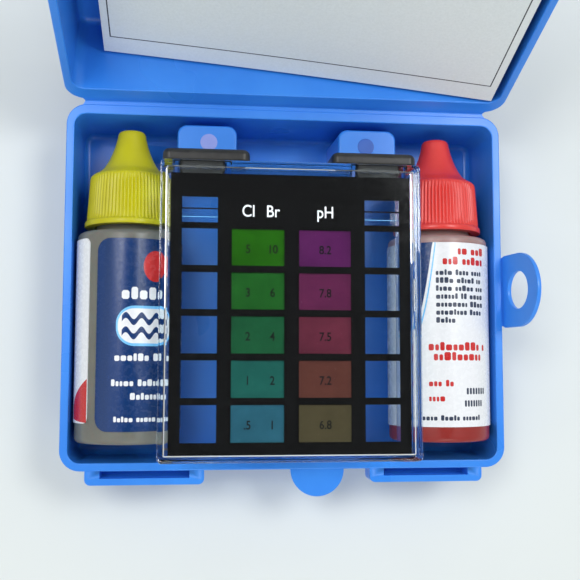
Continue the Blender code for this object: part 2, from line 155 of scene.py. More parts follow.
# bottles
CAP_AXIS = Vector(JOINTS["right_cap_turn"]["pos_m"])
BOTTLE_X = CAP_AXIS.x
BOTTLE_Z = CAP_AXIS.z
BOTTLE_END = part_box("yellow_bottle")[0].y
BOTTLE_RADIUS = 13.7 * MM
LABEL_RADIUS = 14.0 * MM
PRINT_LIFT = 0.02 * MM
LABEL_END = 52.6 * MM
TURN_STEPS = 96
FLUTES = 72
FLUTE_DEPTH = 0.34 * MM
PANEL_PITCH = 2.0
LONGEST_WORD = 9

# comparator
COMP_LOW, COMP_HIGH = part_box("comparator_front")
COMP_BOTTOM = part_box("comparator_back")[0].z
COMP_X = (COMP_LOW.x + COMP_HIGH.x) / 2
COMP_MIDDLE = (COMP_LOW.y + COMP_HIGH.y) / 2
COMP_HALF_X = (COMP_HIGH.x - COMP_LOW.x) / 2
COMP_HALF_Y = (COMP_HIGH.y - COMP_LOW.y) / 2
COMP_SPLIT = 34.0 * MM
COMP_GAP = 0.3 * MM
COMP_WALL = 1.4 * MM
COMP_SKIN = 1.3 * MM
COMP_CORNER = 1.2 * MM
COMP_EDGE = 0.3 * MM
COMP_LIP = 0.15 * MM
CELL_X = 22.3 * MM
CELL_WIDTH = 12.0 * MM
CELL_WALL = 0.9 * MM
CELL_BOTTOM = 29.0 * MM
CELL_TOP = 36.6 * MM
CELL_END = -41.2 * MM
MASK_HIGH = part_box("scale_mask")[1]
MASK_TOP = MASK_HIGH.y
ROWS = 5
ROW_HEIGHT = 9.1 * MM
ROW_PITCH = 10.83 * MM
FIRST_ROW = 13.85 * MM
SAMPLE_WINDOW_X = 22.85 * MM
SAMPLE_WINDOW_WIDTH = 8.8 * MM
CHLORINE_X = -8.4 * MM
PH_X = 8.35 * MM
CHLORINE_PRINT_X = CHLORINE_X + 0.6 * MM
PH_PRINT_X = PH_X + 0.1 * MM
NUMBER_SPREAD = 3.05 * MM
NUMBER_SIZE = 3.0 * MM
HEADING_SIZE = 4.2 * MM
HEADING_ROW = 9.2 * MM
INK_LIFT = 0.04 * MM
STRIP_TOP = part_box("ph_standards")[1].z
STOPPER_INSET = 1.0 * MM
STOPPER_WIDTH = 21.8 * MM
STOPPER_HEIGHT = 9.6 * MM
STOPPER_REACH = 3.2 * MM
STOPPER_ROUND = 1.5 * MM

# colours, linear
SKY_BLUE = (0.042, 0.262, 0.84)
DEEP_BLUE = (0.030, 0.222, 0.78)
LABEL_BLUE = (0.003, 0.030, 0.125)
# the lighter white below is the painted sheen of the white label's streaks
LABEL_WHITE_SHEEN = (0.82, 0.83, 0.85)
PALE_BLUE = (0.16, 0.5, 0.85)
PRINT_RED = (0.52, 0.02, 0.02)
PRINT_DARK = (0.03, 0.045, 0.08)
YELLOW = (0.58, 0.55, 0.0)
YELLOW_DARK = (0.46, 0.42, 0.0)
RED = (0.80, 0.062, 0.050)
RED_DARK = (0.66, 0.035, 0.03)
CHLORINE_STEPS = (
    (0.0125, 0.083, 0.004),
    (0.0105, 0.074, 0.012),
    (0.009, 0.066, 0.026),
    (0.010, 0.074, 0.060),
    (0.018, 0.081, 0.117),
)
PH_STEPS = (
    (0.066, 0.0105, 0.063),
    (0.078, 0.013, 0.045),
    (0.088, 0.017, 0.031),
    (0.075, 0.026, 0.020),
    (0.053, 0.044, 0.023),
)


# ---- meshes


def rounding(radius, steps, first=0):
    """Inset and rise of the points of a quarter-round edge."""
    angles = [math.radians(90 * i / steps) for i in range(first, steps + 1)]
    return [(radius * (1 - math.sin(a)), radius * (1 - math.cos(a))) for a in angles]


def directions(path):
    """Unit direction of a path at each of its points."""
    ends = [path[0]] + path + [path[-1]]
    return [(after - before).normalized() for before, after in zip(ends, ends[2:])]


def arc(cx, cy, radius, start, end, steps):
    """Points of an arc, angles in degrees."""
    angles = [math.radians(start + (end - start) * i / steps) for i in range(steps + 1)]
    return [(cx + radius * math.cos(a), cy + radius * math.sin(a)) for a in angles]


def ring(half_x, y_front, y_back, radius, z, steps=10):
    """Points of a rounded rectangle, anticlockwise from above."""
    points = []
    for sx, sy, start in ((1, 1, 0), (-1, 1, 90), (-1, -1, 180), (1, -1, 270)):
        cx = sx * (half_x - radius)
        cy = y_back - radius if sy > 0 else y_front + radius
        points += [Vector((x, y, z)) for x, y in arc(cx, cy, radius, start, start + 90, steps)]
    return points


def loft(bm, rings):
    """Skin and cap a stack of equal rings."""
    loops = [[bm.verts.new(p) for p in points] for points in rings]
    count = len(loops[0])
    for low, high in zip(loops, loops[1:]):
        for i in range(count):
            j = (i + 1) % count
            bm.faces.new((low[i], low[j], high[j], high[i]))
    bm.faces.new(list(reversed(loops[0])))
    bm.faces.new(loops[-1])


def sheet(bm, top, low):
    """Skin the space between two equal grids of vertices."""
    rows, columns = len(top) - 1, len(top[0]) - 1
    for grid in (top, low):
        for i in range(rows):
            for j in range(columns):
                bm.faces.new((grid[i][j], grid[i + 1][j], grid[i + 1][j + 1], grid[i][j + 1]))
    for i in range(rows):
        for j in (0, columns):
            bm.faces.new((top[i][j], top[i + 1][j], low[i + 1][j], low[i][j]))
    for j in range(columns):
        for i in (0, rows):
            bm.faces.new((top[i][j], top[i][j + 1], low[i][j + 1], low[i][j]))


def plate(bm, outline, z_low, z_high, edge=0.0):
    """Extrude a flat outline between two heights and round its edges."""
    verts = set(bm.verts)
    loft(bm, [[Vector((x, y, z)) for x, y in outline] for z in (z_low, z_high)])
    if edge:
        made = [v for v in bm.verts if v not in verts]
        sharp = {e for v in made for e in v.link_edges if e.calc_face_angle(0.0) > math.radians(SOFT)}
        bmesh.ops.bevel(bm, geom=list(sharp), offset=edge, segments=3, profile=0.5, affect="EDGES")


def box(bm, low, high, edge=0.0):
    """An axis-aligned box with rounded edges."""
    outline = [(low[0], low[1]), (high[0], low[1]), (high[0], high[1]), (low[0], high[1])]
    plate(bm, outline, low[2], high[2], edge)


def put(name, data):
    """Add an object to the scene."""
    obj = bpy.data.objects.new(name, data)
    bpy.context.collection.objects.link(obj)
    return obj


def add(name, bm, mat, smooth=SOFT, matrix=None):
    """Turn a bmesh into a named object with its faces pointing out."""
    if matrix:
        bmesh.ops.transform(bm, matrix=matrix, verts=bm.verts)
    bmesh.ops.recalc_face_normals(bm, faces=bm.faces[:])
    mesh = bpy.data.meshes.new(name)
    bm.to_mesh(mesh)
    bm.free()
    obj = put(name, mesh)
    mesh.materials.append(mat)
    polish(obj, smooth)
    return obj


def polish(obj, smooth):
    """Shade smoothly across shallow angles, with flat faces kept flat."""
    obj.data.shade_smooth()
    obj.data.set_sharp_from_angle(angle=math.radians(smooth))
    weighted = obj.modifiers.new("flat_faces", "WEIGHTED_NORMAL")
    weighted.keep_sharp = True
    weighted.weight = 80


def combine(obj, helper, operation, smooth=SOFT):
    """Fuse a helper into obj, or cut it out, and keep the result as obj's mesh."""
    mat = obj.data.materials[0]
    obj.modifiers.clear()
    mod = obj.modifiers.new(helper.name, "BOOLEAN")
    mod.operation = operation
    mod.solver = "EXACT"
    mod.object = helper
    bpy.context.view_layer.update()
    graph = bpy.context.evaluated_depsgraph_get()
    mesh = bpy.data.meshes.new_from_object(obj.evaluated_get(graph))
    obj.modifiers.clear()
    obj.data = mesh
    mesh.materials.clear()
    mesh.materials.append(mat)
    bpy.data.objects.remove(helper, do_unlink=True)
    polish(obj, smooth)


# ---- materials


class Look:
    """A Principled material with short ways to add procedural detail."""

    def __init__(self, name):
        self.mat = bpy.data.materials.new(name)
        self.mat.use_nodes = True
        self.tree = self.mat.node_tree
        self.shader = self.tree.nodes["Principled BSDF"]
        self.coords = self.node("TexCoord").outputs["Object"]

    def set(self, **values):
        """Set plain values on the shader's sockets, with _ for spaces."""
        for name, value in values.items():
            self.shader.inputs[name.replace("_", " ")].default_value = value

    def link(self, source, target):
        self.tree.links.new(source, target)

    def feed(self, value, socket):
        """Link a socket, or set a number or a colour."""
        if isinstance(value, bpy.types.NodeSocket):
            self.link(value, socket)
        else:
            socket.default_value = value if isinstance(value, (int, float)) else (*value, 1.0)

    def node(self, kind, **values):
        """A new node with plain values on its sockets, with _ for spaces."""
        node = self.tree.nodes.new("ShaderNode" + kind)
        for name, value in values.items():
            node.inputs[name.replace("_", " ")].default_value = value
        return node

    def calc(self, operation, *values):
        """A Math node on sockets and numbers."""
        node = self.node("Math")
        node.operation = operation
        for value, socket in zip(values, node.inputs):
            self.feed(value, socket)
        return node.outputs[0]

    def noise(self, scale, detail=3.0, roughness=0.55, stretch=None):
        """Fractal noise in the object's own coordinates; scale is cycles a metre."""
        node = self.node("TexNoise", Scale=scale, Detail=detail, Roughness=roughness)
        source = self.coords
        if stretch:
            mapping = self.node("Mapping", Scale=stretch)
            self.link(source, mapping.inputs["Vector"])
            source = mapping.outputs["Vector"]
        self.link(source, node.inputs["Vector"])
        return node.outputs["Fac"]

    def ramp(self, factor, stops, steps=False):
        """A colour ramp; stops are (place, colour)."""
        node = self.node("ValToRGB")
        node.color_ramp.interpolation = "CONSTANT" if steps else "LINEAR"
        elements = node.color_ramp.elements
        while len(elements) < len(stops):
            elements.new(0.5)
        for element, (place, color) in zip(elements, stops):
            element.position = place
            element.color = (*color, 1.0)
        self.link(factor, node.inputs["Fac"])
        return node.outputs["Color"]

    def span(self, factor, low, high, start=0.3, end=0.7):
        """Map a factor to a range."""
        node = self.node("MapRange", From_Min=start, From_Max=end, To_Min=low, To_Max=high)
        self.link(factor, node.inputs["Value"])
        return node.outputs["Result"]

    def blend(self, factor, a, b, mode="MIX"):
        """Mix two colours, each a socket or a plain colour."""
        node = self.node("Mix")
        node.data_type = "RGBA"
        node.blend_type = mode
        for value, place in ((factor, 0), (a, 6), (b, 7)):
            self.feed(value, node.inputs[place])
        return node.outputs[2]

    def color(self, source):
        self.link(source, self.shader.inputs["Base Color"])

    def rough(self, factor, *limits):
        self.link(self.span(factor, *limits), self.shader.inputs["Roughness"])

    def bump(self, height, distance):
        """Surface relief from a height socket."""
        node = self.node("Bump", Distance=distance, Strength=1.0)
        self.link(height, node.inputs["Height"])
        self.link(node.outputs["Normal"], self.shader.inputs["Normal"])

    def axis(self, name):
        """One of the object's own coordinates."""
        node = self.node("SeparateXYZ")
        self.link(self.coords, node.inputs["Vector"])
        return node.outputs[name]

    def lets_lamps_through(self, tint):
        """Thin clear plastic throws hardly any shadow."""
        path = self.node("LightPath")
        clear = self.node("BsdfTransparent", Color=(*tint, 1.0))
        mix = self.node("MixShader")
        self.link(path.outputs["Is Shadow Ray"], mix.inputs["Fac"])
        self.link(self.shader.outputs["BSDF"], mix.inputs[1])
        self.link(clear.outputs["BSDF"], mix.inputs[2])
        self.link(mix.outputs["Shader"], self.tree.nodes["Material Output"].inputs["Surface"])


def moulded(name, light, dark, roughness):
    """Glossy injection-moulded plastic with faint flow marks and a slight waviness."""
    look = Look(name)
    flow = look.noise(55.0, 4.0, 0.6, stretch=(1.0, 0.6, 1.0))
    look.color(look.ramp(flow, ((0.32, dark), (0.68, light))))
    handling = look.noise(60.0, 1.0)
    look.rough(handling, roughness - 0.03, roughness + 0.05)
    look.bump(look.noise(450.0, 1.0), 0.006 * MM)
    look.set(IOR=1.49)
    return look.mat


def clear_acrylic():
    """Clear polystyrene with faint wear."""
    look = Look("clear_acrylic")
    wear = look.noise(350.0, 3.0, 0.6)
    look.color(look.ramp(wear, ((0.3, (0.96, 0.98, 0.99)), (0.7, (0.985, 0.995, 1.0)))))
    look.rough(wear, 0.0, 0.025, 0.45, 0.75)
    look.set(IOR=1.49, Transmission_Weight=1.0)
    look.lets_lamps_through((0.93, 0.96, 0.97))
    return look.mat


def milky(name, light, dark, filled=None):
    """Cloudy, waxy natural polythene; filled is the colour of the liquid behind its lower part."""
    look = Look(name)
    cloud = look.noise(160.0, 4.0, 0.6)
    tone = look.ramp(cloud, ((0.3, dark), (0.7, light)))
    if filled:
        fade = look.span(look.axis("Y"), 1.0, 0.0, BOTTLE_END + 48.0 * MM, BOTTLE_END + 53.5 * MM)
        tone = look.blend(fade, tone, filled)
    look.color(tone)
    look.rough(look.noise(1200.0), 0.28, 0.4)
    look.bump(look.noise(2400.0, 2.0), 0.01 * MM)
    look.set(IOR=1.5, Transmission_Weight=0.35, Subsurface_Weight=0.25, Subsurface_Scale=2.0 * MM)
    return look.mat


def liquid(name, light, dark):
    """Reagent in the bottle."""
    look = Look(name)
    look.color(look.ramp(look.noise(120.0), ((0.3, dark), (0.7, light))))
    look.rough(look.noise(300.0), 0.02, 0.05)
    look.set(IOR=1.33, Transmission_Weight=0.6)
    look.lets_lamps_through(light)
    return look.mat


def printed(name, ink, sheen):
    """Ink on glossy label film, with lighter streaks along the bottle painted in as sheen."""
    look = Look(name)
    # painted sheen: lighter streaks running along the lying bottle stand in for the highlights on its curve
    sheen_streaks = look.noise(240.0, 4.0, 0.6, stretch=(1.0, 0.03, 1.0))
    look.color(look.ramp(sheen_streaks, ((0.42, ink), (0.7, sheen))))
    look.rough(look.noise(800.0), 0.19, 0.34)
    look.bump(look.noise(500.0, 2.0), 0.005 * MM)
    look.set(IOR=1.45)
    return look.mat


def paper_card():
    """White card with a printed border line and paper fibres."""
    look = Look("card_paper")
    fibres = look.noise(1500.0, 4.0, 0.7)
    paper = look.ramp(fibres, ((0.3, (0.74, 0.79, 0.77)), (0.7, (0.81, 0.86, 0.84))))
    split = look.node("SeparateXYZ")
    look.link(look.node("TexCoord").outputs["UV"], split.inputs["Vector"])
    edges = []
    for axis, size, border in (("X", CARD_WIDTH, CARD_BORDER_SIDE), ("Y", CARD_HEIGHT, CARD_BORDER_END)):
        mirror = look.calc("PINGPONG", split.outputs[axis], 0.5)
        edges.append(look.calc("MULTIPLY_ADD", mirror, size, -border))
    line = look.calc("COMPARE", look.calc("MINIMUM", *edges), 0.0, CARD_LINE)
    look.color(look.blend(line, paper, (0.03, 0.03, 0.035)))
    look.rough(fibres, 0.5, 0.62)
    look.bump(fibres, 0.02 * MM)
    return look.mat


def standard_film(name, steps):
    """Printed colour standards, one step for each row of windows."""
    look = Look(name)
    first = MASK_TOP - FIRST_ROW + (ROW_PITCH - ROW_HEIGHT) / 2
    last = first - ROWS * ROW_PITCH
    place = look.span(look.axis("Y"), 0.0, 1.0, first, last)
    flat = look.ramp(place, [(i / ROWS, c) for i, c in enumerate(steps)], steps=True)
    cloud = look.noise(130.0, 4.0, 0.6)
    mottle = look.ramp(cloud, ((0.3, (0.82, 0.82, 0.82)), (0.7, (1.12, 1.1, 1.08))))
    look.color(look.blend(1.0, flat, mottle, "MULTIPLY"))
    look.rough(look.noise(900.0), 0.05, 0.12)
    look.set(IOR=1.4)
    return look.mat


def mask_film():
    """Black printed film with dust and faint scuffs."""
    look = Look("mask_film")
    dust = look.noise(1500.0, 1.0, 0.3)
    look.color(look.ramp(dust, ((0.0, (0.004, 0.004, 0.004)), (0.8, (0.005, 0.005, 0.005)),
                                (0.86, (0.02, 0.02, 0.018)))))
    look.rough(look.noise(420.0), 0.06, 0.12)
    look.set(IOR=1.45)
    return look.mat


def scale_ink():
    """Dense matt black ink of the standards' numbers, with fine unevenness."""
    look = Look("scale_black")
    grain = look.noise(1800.0, 2.0)
    look.color(look.ramp(grain, ((0.3, (0.001, 0.001, 0.001)), (0.7, (0.003, 0.003, 0.003)))))
    look.rough(look.noise(900.0), 0.5, 0.65)
    look.set(Specular_IOR_Level=0.1)
    return look.mat


def rubbery():
    """Black soft plastic with dusty wear."""
    look = Look("black_plastic")
    wear = look.noise(420.0, 5.0, 0.65)
    look.color(look.ramp(wear, ((0.35, (0.008, 0.008, 0.008)), (0.75, (0.028, 0.027, 0.024)))))
    look.rough(wear, 0.3, 0.46)
    look.bump(look.noise(3000.0, 2.0), 0.015 * MM)
    return look.mat


def tabletop():
    """Pale matt surface."""
    look = Look("tabletop")
    look.color(look.ramp(look.noise(9.0), ((0.35, (0.70, 0.74, 0.72)), (0.65, (0.73, 0.77, 0.75)))))
    look.rough(look.noise(60.0), 0.5, 0.62)
    return look.mat


# ---- case


def shell_rings(height, front_rim, back_rim, y_shift, z_at):
    """Rings of one half of the case, from the middle of its outside to the middle of its inside."""
    front = CASE_FRONT - y_shift
    back = HINGE.y - HINGE_SETBACK - y_shift
    back_rim -= HINGE_SETBACK

    def level(side, front_in, back_in, z):
        radius = max(CORNER_RADIUS - side, 1.2 * MM)
        return ring(HALF_WIDTH - side, front + front_in, back - back_in, radius, z_at(z))

    def outer(extra, z):
        return level(RIM_WIDTH - WALL + extra, max(front_rim - WALL, 0) + extra, back_rim - WALL + extra, z)

    def inner(extra, z):
        return level(RIM_WIDTH + extra, front_rim + extra, back_rim + extra, z)

    def rim(extra, z):
        return level(extra, extra, extra, z)

    rim_low = height - RIM_THICKNESS
    rings = [outer(DRAFT + 6 * MM, 0.0)]
    rings += [outer(DRAFT + inset, rise) for inset, rise in rounding(OUTER_ROUND, 6)]
    rings += [outer(DRAFT / 2, rim_low / 2), outer(0.05 * MM, rim_low)]
    rings += [rim(inset, rim_low + rise) for inset, rise in rounding(EDGE, 4)]
    rings += [rim(rise, height - inset) for inset, rise in rounding(EDGE, 4)]
    rings += [inner(-inset, height - rise) for inset, rise in rounding(EDGE, 4)]
    rings += [inner(DRAFT * 0.5, height / 2), inner(DRAFT, FLOOR + INNER_ROUND)]
    rings += [inner(DRAFT + rise, FLOOR + inset) for inset, rise in rounding(INNER_ROUND, 6, 1)]
    rings += [inner(DRAFT + 8 * MM, FLOOR)]
    return rings


def catch_block(bm, x, z_low, z_high):
    """The rounded block in front of the rim that a catch slot is cut into."""
    root = CASE_FRONT + CATCH_ROOT
    tip = CASE_FRONT - CATCH_REACH
    half = CATCH_LENGTH / 2
    r = CATCH_ROUND
    outline = [(x - half, root)]
    outline += arc(x - half + r, tip + r, r, 180, 270, 6)
    outline += arc(x + half - r, tip + r, r, 270, 360, 6)
    outline += [(x + half, root)]
    plate(bm, outline, z_low, z_high, SMALL_EDGE)


def thumb_tab(bm, x, y, z_low, z_high):
    """A half-round tab in front of the rim."""
    outline = arc(x, y, THUMB_RADIUS, 180, 360, 28)
    outline += [(x + THUMB_RADIUS, y + 1.0 * MM), (x - THUMB_RADIUS, y + 1.0 * MM)]
    plate(bm, outline, z_low, z_high, SMALL_EDGE)


def case_base(mat):
    """The tray, with its catch pockets, thumb tab and rear pillars."""
    bm = bmesh.new()
    loft(bm, shell_rings(BASE_HEIGHT, RIM_WIDTH, BASE_BACK_RIM, 0.0, lambda z: z))
    base = add("base_shell", bm, mat)
    high = BASE_HEIGHT - TAB_DROP
    bm, slots = bmesh.new(), bmesh.new()
    for side in (-1, 1):
        x = side * CATCH_X
        catch_block(bm, x, high - CATCH_HEIGHT, high)
        box(slots, (x - SLOT_LENGTH / 2, CASE_FRONT - SLOT_WIDTH, high - CATCH_HEIGHT + CATCH_FLOOR),
            (x + SLOT_LENGTH / 2, CASE_FRONT - 0.02 * MM, high + 1 * MM), SMALL_EDGE)
        half = PILLAR_WIDTH / 2
        rings = []
        for grow, z in ((0.4, FLOOR / 2), (0.0, PILLAR_TOP - 0.9 * MM), (-0.07, PILLAR_TOP - 0.5 * MM),
                        (-0.27, PILLAR_TOP - 0.2 * MM), (-0.6, PILLAR_TOP)):
            grow *= MM
            level = ring(half + grow, PILLAR_FRONT - grow, PILLAR_BACK + grow, PILLAR_CORNER, z, 6)
            rings.append([p + Vector((side * PILLAR_X, 0, 0)) for p in level])
        loft(bm, rings)
    thumb_tab(bm, THUMB_X, CASE_FRONT, high - TAB_THICKNESS, high)
    combine(base, add("base_fittings", bm, mat), "UNION")
    combine(base, add("catch_slots", slots, mat), "DIFFERENCE")
    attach(base, "base")
    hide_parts("case_base")


def ejector_mark(side, name, mat):
    """The round ejector mark on top of a pillar."""
    center = Vector((side * (PILLAR_X - 0.4 * MM), PILLAR_FRONT + 7.2 * MM, PILLAR_TOP))
    levels = ((1.0, -0.2), (1.0, 0.02), (0.95, 0.07), (0.85, 0.08))
    bm = bmesh.new()
    loft(bm, [[center + Vector((x, y, rise * MM)) for x, y in arc(0, 0, share * EJECTOR_RADIUS, 0, 345, 23)]
              for share, rise in levels])
    mark = add(name, bm, mat)
    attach(mark, "base")


def case_lid(mat):
    """The lid, with its tongues and thumb tab, built closed and turned open."""
    bm = bmesh.new()
    loft(bm, shell_rings(LID_HEIGHT - RIM_GAP, WALL, LID_BACK_RIM, HINGE.y, lambda z: LID_HEIGHT - z))
    lid = add("lid_shell", bm, mat)
    front = CASE_FRONT - HINGE.y
    low = RIM_GAP + TAB_DROP
    high = low + TAB_THICKNESS
    bm = bmesh.new()
    thumb_tab(bm, -THUMB_X, front, low, high)
    back = front - 0.45 * MM
    face = back - TONGUE_THICKNESS
    for side in (-1, 1):
        half = SLOT_LENGTH / 2 - 1.0 * MM
        section = [(front + 1.0 * MM, high), (face + 0.3 * MM, high), (face, high - 0.3 * MM),
                   (face, 0.6 * MM - TONGUE_DROP)]
        section += arc(back - TONGUE_THICKNESS / 2, 0.5 * MM - TONGUE_DROP, TONGUE_THICKNESS / 2, 180, 360, 6)
        section += [(back, low), (front + 1.0 * MM, low)]
        loft(bm, [[Vector((side * CATCH_X + x, y, z)) for y, z in section] for x in (-half, half)])
    combine(lid, add("lid_fittings", bm, mat), "UNION")
    lid.data.transform(LID_TURN)
    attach(lid, "lid")
    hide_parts("case_lid")


def hinge_film(mat):
    """The thin web that joins the two rims and folds between them."""
    rim_side = [Vector((0, HINGE.y - y * MM, HINGE.z - FILM_RADIUS)) for y in (1.7, 1.2, 0.6)]
    bend = []
    for i in range(13):
        a = math.radians(-90 + 70 * i / 12)
        bend.append(HINGE + FILM_RADIUS * Vector((0, math.cos(a), math.sin(a))))
    lid_side = [LID_TURN @ Vector((0, -y * MM, FILM_RADIUS)) for y in (0.6, 1.2, 1.7)]
    path = rim_side + bend + lid_side
    lengths = [0.0]
    for a, b in zip(path, path[1:]):
        lengths.append(lengths[-1] + (b - a).length)
    middle = lengths[-1] / 2
    columns = 60
    bm = bmesh.new()
    top, low = [], []
    for point, along, length in zip(path, directions(path), lengths):
        normal = Vector((0, -along.z, along.y))
        share = (length - middle) / middle
        half = FILM_END + FILM_FLARE * share * share
        for grid, offset in ((top, FILM_HALF), (low, -FILM_HALF)):
            grid.append([bm.verts.new(point + normal * offset + Vector((half * (2 * i / columns - 1), 0, 0)))
                         for i in range(columns + 1)])
    sheet(bm, top, low)
    film = add("hinge_film", bm, mat, smooth=60.0)
    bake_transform(film)
    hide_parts("living_hinge")


def hang_ring(mat):
    """The ring tab, folded up, with the thin web that joins it to the rim."""
    steps = 72
    bm = bmesh.new()
    inner = arc(HANG_REACH, 0, HANG_HOLE_RADIUS, -180, 180 - 360 / steps, steps - 1)
    outer = []
    for i in range(steps):
        a = math.radians(-180 + 360 * i / steps)
        dx, dy = math.cos(a), math.sin(a)
        reach = HANG_RADIUS
        if dx < -1e-6:
            reach = min(HANG_REACH / -dx, HANG_RADIUS / max(abs(dy), 1e-9))
        outer.append((HANG_REACH + reach * dx, reach * dy))
    half = HANG_THICKNESS / 2

    def pull(points, share, toward):
        """Move an outline a little into the material."""
        moved = []
        for x, y in points:
            r = math.hypot(x - HANG_REACH, y)
            k = 1 + toward * share * HANG_EDGE / r
            moved.append((HANG_REACH + (x - HANG_REACH) * k, y * k))
        return moved

    rows = []
    for outline, toward in ((outer, -1), (inner, 1)):
        upper = [(pull(outline, 1.0, toward), half), (pull(outline, 0.3, toward), half - 0.1 * MM),
                 (outline, half - HANG_EDGE)]
        side = upper + [(points, -z) for points, z in reversed(upper)]
        rows += side if toward < 0 else reversed(side)
    loops = [[bm.verts.new((x, y, z)) for x, y in outline] for outline, z in rows]
    for a, b in zip(loops, loops[1:] + loops[:1]):
        for i in range(steps):
            j = (i + 1) % steps
            bm.faces.new((a[i], a[j], b[j], b[i]))
    tab = add("hang_ring_tab", bm, mat, matrix=HANG_TURN)
    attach(tab, "hang_ring")
    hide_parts("hang_tab")
    path = [HANG_AXIS - Vector((x * MM, 0, 0)) for x in (1.5, 1.1, 0.7, 0.35, 0.15, 0.05)]
    path += [HANG_TURN @ Vector((x * MM, 0, 0)) for x in (0.05, 0.15, 0.35, 0.8)]
    bm = bmesh.new()
    rings = []
    for point, along in zip(path, directions(path)):
        normal = Vector((-along.z, 0, along.x)) * HANG_WEB_HALF
        reach = Vector((0, HANG_RADIUS - 0.5 * MM, 0))
        rings.append([point - reach - normal, point + reach - normal,
                      point + reach + normal, point - reach + normal])
    loft(bm, rings)
    web = add("hang_ring_web", bm, mat, smooth=60.0)
    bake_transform(web)


def instruction_card(mat):
    """The printed card, slightly bowed, leaning in the lid."""
    columns, rows = 42, 34
    bm = bmesh.new()
    layers = []
    for side in (1, -1):
        grid = []
        for i in range(columns + 1):
            u = i / columns
            line = []
            for j in range(rows + 1):
                v = j / rows
                bow = CARD_BOW * (math.sin(math.pi * u) - 0.5) + 0.3 * MM * math.sin(math.pi * v)
                line.append(bm.verts.new(((u - 0.5) * CARD_WIDTH, (v - 0.5) * CARD_HEIGHT,
                                          bow + side * CARD_THICKNESS / 2)))
            grid.append(line)
        layers.append(grid)
    uv = bm.loops.layers.uv.new("UVMap")
    sheet(bm, *layers)
    for face in bm.faces:
        for loop in face.loops:
            loop[uv].uv = (loop.vert.co.x / CARD_WIDTH + 0.5, loop.vert.co.y / CARD_HEIGHT + 0.5)
    place = Matrix.Translation((CARD_X, -CARD_FOOT - CARD_HEIGHT / 2, CARD_DEPTH))
    turn = Euler((0, CARD_ANGLE, 0)).to_matrix().to_4x4()
    card = add("kit_card", bm, mat, matrix=LID_TURN @ place @ turn)
    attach(card, "lid")
    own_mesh(card)
    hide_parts("instruction_card")


# ---- bottles


def soften(points, cut):
    """Round the corners of an open outline."""
    steps = 4
    made = [points[0]]
    for before, corner, after in zip(points, points[1:], points[2:]):
        a, b, c = Vector(before), Vector(corner), Vector(after)
        start = b + (a - b).normalized() * min(cut, (a - b).length / 2)
        end = b + (c - b).normalized() * min(cut, (c - b).length / 2)
        for i in range(steps + 1):
            t = i / steps
            made.append(tuple((1 - t) ** 2 * start + 2 * t * (1 - t) * b + t * t * end))
    made.append(points[-1])
    return made


def flowing(points):
    """A smooth line through points."""
    steps = 3
    ends = [Vector(p) for p in points]
    ends = [2 * ends[0] - ends[1]] + ends + [2 * ends[-1] - ends[-2]]
    made = []
    for p0, p1, p2, p3 in zip(ends, ends[1:], ends[2:], ends[3:]):
        for i in range(steps):
            t = i / steps
            made.append(tuple(0.5 * (2 * p1 + (p2 - p0) * t + (2 * p0 - 5 * p1 + 4 * p2 - p3) * t * t
                                     + (3 * p1 - p0 - 3 * p2 + p3) * t ** 3)))
    made.append(tuple(ends[-2]))
    return made


def turned(bm, x, profile, steps=TURN_STEPS, shape=None):
    """Turn a closed profile of (radius, distance from the bottle's end) in millimetres."""
    rings = []
    for r, t in profile:
        y = BOTTLE_END + t * MM
        if r < 1e-4:
            rings.append([bm.verts.new((x, y, BOTTLE_Z))])
            continue
        level = []
        for i in range(steps):
            a = 2 * math.pi * i / steps
            radius = r * MM - (shape(a, r, t) if shape else 0.0)
            level.append(bm.verts.new((x + radius * math.sin(a), y, BOTTLE_Z + radius * math.cos(a))))
        rings.append(level)
    for a, b in zip(rings, rings[1:] + rings[:1]):
        if len(a) == len(b) == 1:
            continue
        for i in range(steps):
            j = (i + 1) % steps
            corner = [a[i % len(a)], a[j % len(a)], b[j % len(b)], b[i % len(b)]]
            bm.faces.new(list(dict.fromkeys(corner)))


def bottle(side, name, body, node, mat):
    """A dropper bottle with a rounded shoulder and heel."""
    outside = soften([(0, 0.7), (9.5, 0.5), (11.0, 0.0), (13.7, 0.0), (13.7, 54.8), (9.0, 54.9),
                      (9.0, 66.5)], 1.5)
    inside = soften([(7.0, 66.5), (7.0, 54.0), (12.5, 53.4), (12.5, 1.3), (0, 1.3)], 1.2)
    bm = bmesh.new()
    turned(bm, side * BOTTLE_X, outside + inside)
    obj = add(name, bm, mat)
    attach(obj, body)
    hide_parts(node)


def cap(side, name, body, node, mat):
    """A fluted screw cap with a trumpet nozzle."""
    steps = FLUTES * 6
    skirt = [(12.0, 56.5), (12.1, 56.7), (12.1, 57.6), (11.95, 57.9), (11.62, 58.05)]
    skirt += [(11.6 - 0.7 * i / 8, 58.5 + 10.9 * i / 8) for i in range(9)]
    shoulder = flowing([(10.75, 70.0), (10.2, 70.6), (9.0, 71.3), (7.6, 72.4), (6.3, 74.4), (5.2, 76.8),
                        (4.4, 79.1), (3.85, 81.3)])
    tip = flowing([(3.75, 82.0), (3.45, 82.65), (2.9, 83.0), (1.5, 83.08), (0, 83.1)])
    inside = [(0, 81.9), (2.1, 81.7), (2.7, 73.7), (4.2, 70.9), (9.5, 69.7), (9.5, 56.5)]

    def flute(angle, r, t):
        """Depth of the flutes, which fade at both ends of the skirt."""
        if r < 10.5 or not 58.1 < t < 70.1:
            return 0.0
        fade = min(1.0, (t - 58.05) / 0.5, (70.2 - t) / 0.9)
        return fade * FLUTE_DEPTH * (0.5 - 0.5 * math.cos(FLUTES * angle)) ** 1.6

    bm = bmesh.new()
    turned(bm, side * BOTTLE_X, skirt + shoulder + tip + inside, steps, flute)
    obj = add(name, bm, mat, smooth=50.0)
    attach(obj, body)
    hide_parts(node)


